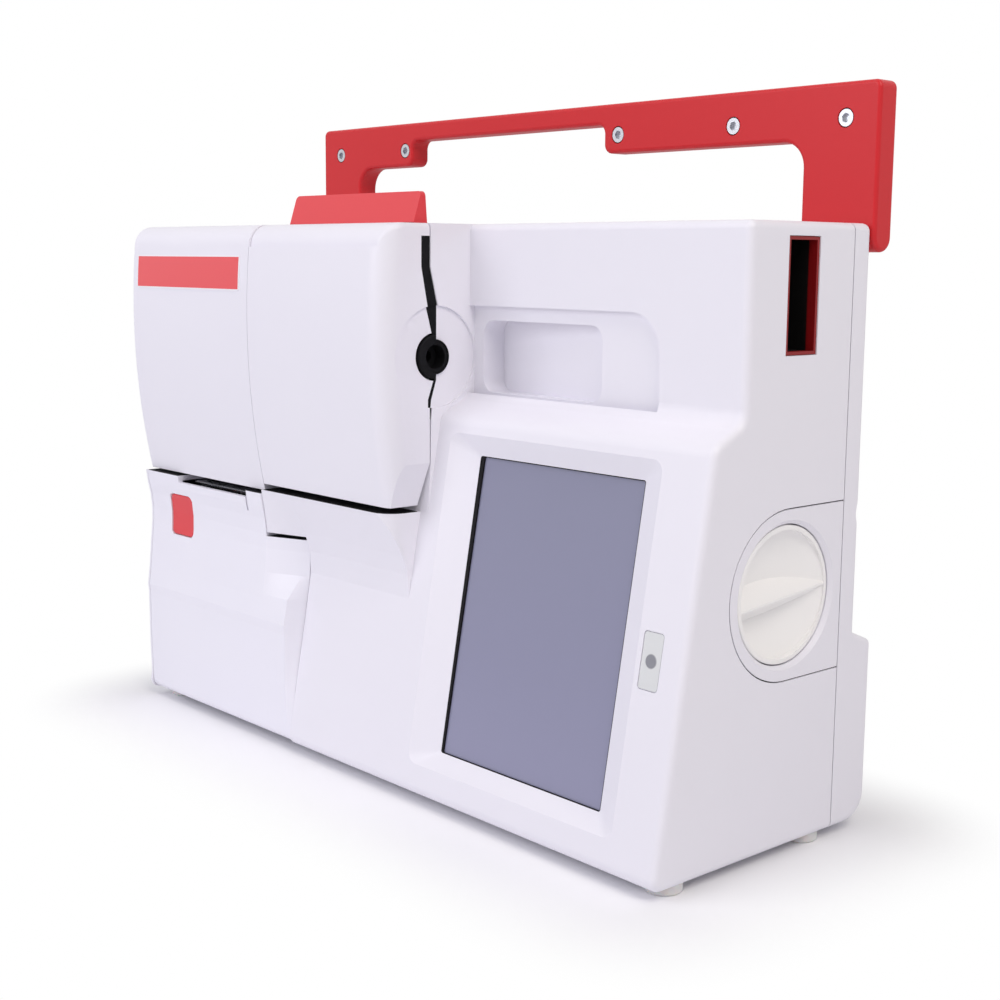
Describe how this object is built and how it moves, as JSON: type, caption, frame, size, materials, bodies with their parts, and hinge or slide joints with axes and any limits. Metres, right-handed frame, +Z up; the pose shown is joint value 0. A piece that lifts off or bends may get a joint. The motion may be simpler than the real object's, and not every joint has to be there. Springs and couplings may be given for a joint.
{
  "type": "blood gas analyzer",
  "caption": "Portable bench blood gas analyzer with a hinged sample chamber cover, paper door, sloped display, gas bottle bay, reader slot and folding handle.",
  "frame": {"origin": "on the table under the middle of the case", "axes": "+X to the user's right along the case, +Y to the back, +Z up"},
  "size_m": [0.351, 0.1281, 0.289],
  "materials": {
    "case": "fine moulded texture",
    "door": "fine moulded texture",
    "knob": "smooth moulded",
    "handle_red": "satin moulded",
    "accent_red": "satin moulded",
    "liner_red": "satin moulded",
    "window": "polished",
    "label": "printed film",
    "black_rubber": "matte",
    "foot_rubber": "translucent white, matte",
    "black_plastic": "matte",
    "grey_plastic": "matte",
    "glass": "anti-glare",
    "clear": "polished",
    "steel": "bright zinc",
    "aluminium": "satin",
    "board": "solder mask",
    "motor": "satin",
    "nylon": "natural",
    "paper": "smooth paper",
    "battery": "matte",
    "bottle": "drawn and brushed"
  },
  "bodies": {
    "root": {"front_shell": "case", "rear_cover": "case", "case_screws": "steel", "feet": "foot_rubber", "battery_cover": "case", "battery_pack": "battery", "rear_ports": "black_plastic", "power_inlet": "black_plastic", "fan_frame": "black_plastic", "main_board": "board", "handle_pins": "steel", "printer_cover": "case", "label_plate": "label", "hinge_pins": "steel", "chamber_gasket": "black_rubber", "sample_port": "black_rubber", "chamber_block": "aluminium", "chamber_windows": "clear", "optics_module": "black_plastic", "chassis_plate": "aluminium", "pump_housing": "grey_plastic", "pump_motor": "motor", "valve_manifold": "grey_plastic", "touch_glass": "glass", "display_panel": "grey_plastic", "status_window": "window", "reader_liner": "liner_red", "reader_module": "black_plastic", "bottle_bay": "case", "bottle_regulator": "aluminium", "paper_bay": "grey_plastic", "paper_spindle": "nylon", "printer_frame": "steel", "stepper_motor": "motor", "tear_bar": "steel", "latch_spring": "steel"},
    "handle": {"handle_front_shell": "handle_red", "handle_rear_shell": "handle_red", "handle_core": "aluminium", "handle_screws": "steel"},
    "chamber_cover": {"chamber_cover": "case", "cover_catch": "steel", "pressure_pad": "nylon"},
    "latch": {"release_latch": "accent_red"},
    "paper_door": {"paper_door": "door", "print_head": "aluminium"},
    "door_button": {"door_button": "accent_red"},
    "platen": {"platen_roller": "black_rubber", "platen_gear": "nylon"},
    "pinion": {"motor_pinion": "nylon"},
    "paper_roll": {"roll_core": "grey_plastic", "paper_roll": "paper"},
    "collar": {"bottle_collar": "nylon"},
    "bottle": {"gas_bottle": "bottle", "bottle_knob": "knob"},
    "fan": {"fan_rotor": "black_plastic"},
    "pump": {"pump_rotor": "grey_plastic"},
    "rocker": {"power_rocker": "black_plastic"}
  },
  "joints": [
    {"name": "handle_fold", "type": "hinge", "parent": "root", "child": "handle", "pos_m": [0, 0.05845, 0.2315], "axis": [1, 0, 0], "range_deg": [-180, 0]},
    {"name": "cover_hinge", "type": "hinge", "parent": "root", "child": "chamber_cover", "pos_m": [0, -0.0525, 0.125], "axis": [1, 0, 0], "range_deg": [0, 80]},
    {"name": "latch_pivot", "type": "hinge", "parent": "root", "child": "latch", "pos_m": [0, -0.0335, 0.2285], "axis": [1, 0, 0], "range_deg": [-10, 0], "stiffness_Nm_per_rad": 0.2, "springref_deg": 5.73, "deforming": ["latch_spring"]},
    {"name": "door_hinge", "type": "hinge", "parent": "root", "child": "paper_door", "pos_m": [0, -0.0536, 0.0086], "axis": [1, 0, 0], "range_deg": [0, 85]},
    {"name": "button_press", "type": "slide", "parent": "paper_door", "child": "door_button", "axis": [0, 1, 0], "range_m": [0, 0.0015], "stiffness_N_per_m": 400, "springref_m": -0.001},
    {"name": "platen_spin", "type": "hinge", "parent": "root", "child": "platen", "pos_m": [-0.1, -0.0445, 0.1025], "axis": [1, 0, 0], "continuous": true},
    {"name": "pinion_spin", "type": "hinge", "parent": "root", "child": "pinion", "pos_m": [-0.08, -0.03347, 0.09324], "axis": [1, 0, 0], "continuous": true},
    {"name": "paper_roll_spin", "type": "hinge", "parent": "root", "child": "paper_roll", "pos_m": [-0.1135, -0.027, 0.038], "axis": [1, 0, 0], "continuous": true},
    {"name": "collar_turn", "type": "hinge", "parent": "root", "child": "collar", "pos_m": [0.1595, 0.0091, 0.1014], "axis": [1, 0, 0], "range_deg": [-90, 0]},
    {"name": "bottle_slide", "type": "slide", "parent": "collar", "child": "bottle", "axis": [1, 0, 0], "range_m": [0, 0.135]},
    {"name": "fan_spin", "type": "hinge", "parent": "root", "child": "fan", "pos_m": [-0.09, 0.045, 0.16], "axis": [0, 1, 0], "continuous": true},
    {"name": "pump_spin", "type": "hinge", "parent": "root", "child": "pump", "pos_m": [-0.12275, -0.045, 0.182], "axis": [0, 1, 0], "continuous": true},
    {"name": "power_switch", "type": "hinge", "parent": "root", "child": "rocker", "pos_m": [0.13, 0.0601, 0.052], "axis": [1, 0, 0], "range_deg": [-16, 0]}
  ],
  "couplings": [
    {"joint": "pinion_spin", "follows": "platen_spin", "ratio": -1}
  ]
}
